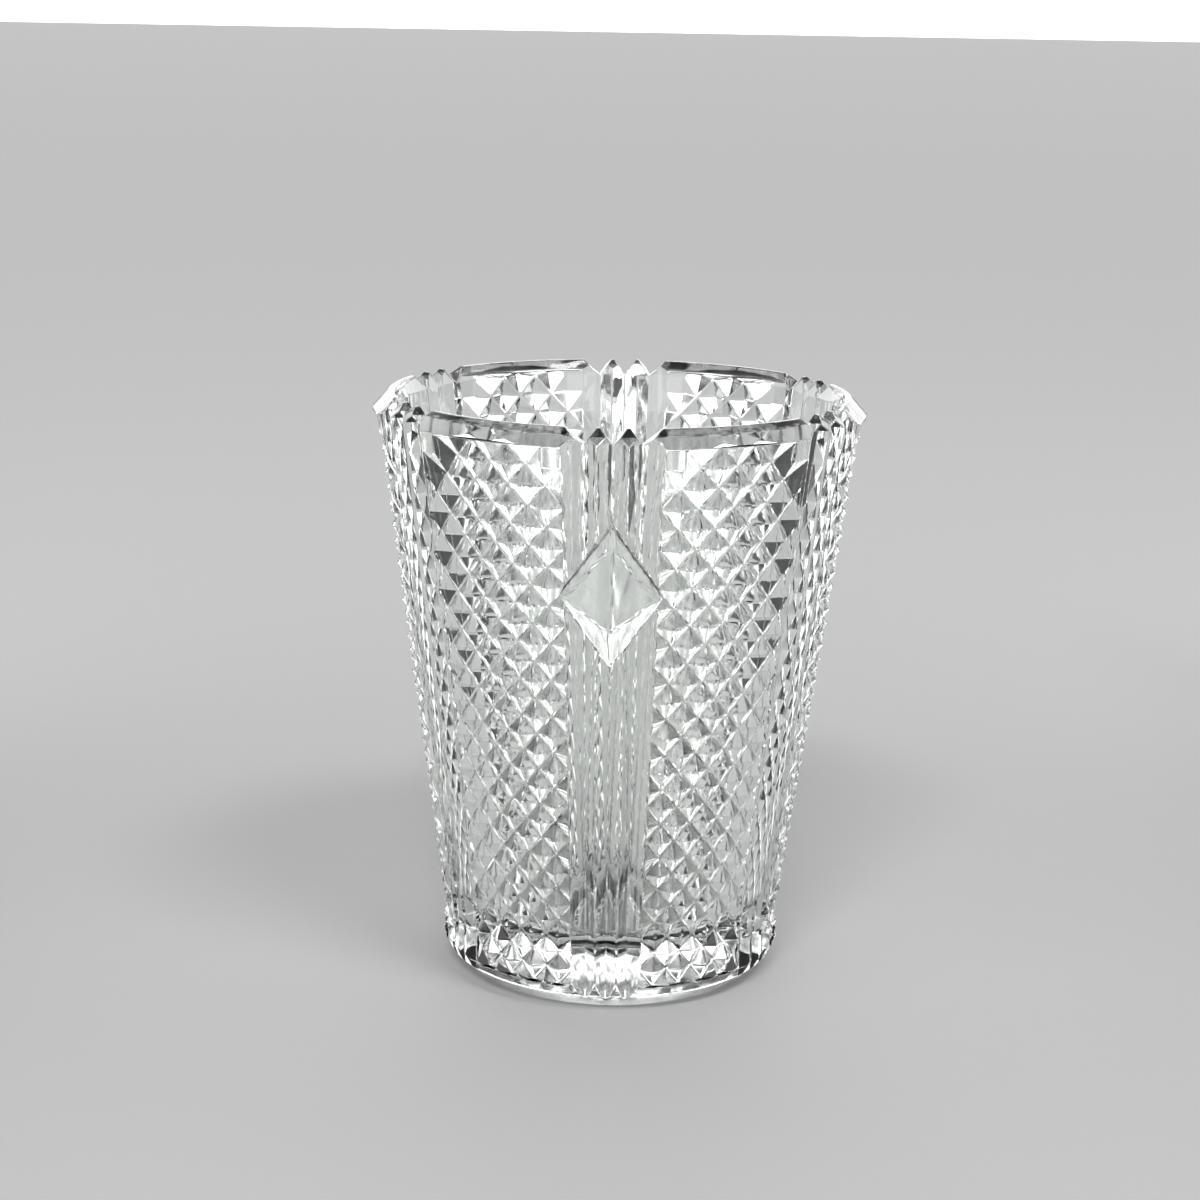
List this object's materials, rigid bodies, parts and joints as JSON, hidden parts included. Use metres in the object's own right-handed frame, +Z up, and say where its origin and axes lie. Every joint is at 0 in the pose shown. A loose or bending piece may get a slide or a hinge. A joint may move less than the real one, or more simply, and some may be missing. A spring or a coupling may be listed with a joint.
{
  "type": "whiskey tumbler",
  "caption": "Thick-based pressed-glass tumbler: tapered cup with panels of small raised pyramids between upright ribs, and a bevelled rim notched over the ribs; holds a drink.",
  "frame": {"origin": "middle of the foot, on the plane the glass stands on", "axes": "+Z up through the mouth; the rib group with the lozenge faces -Y; X runs across the glass"},
  "size_m": [0.0866, 0.0858, 0.1046],
  "materials": {
    "clear_glass": "clear, fire-polished pressed glass with a faint grey-green cast in the thick edges"
  },
  "bodies": {
    "root": {"glass_tumbler": "clear_glass"}
  },
  "joints": []
}
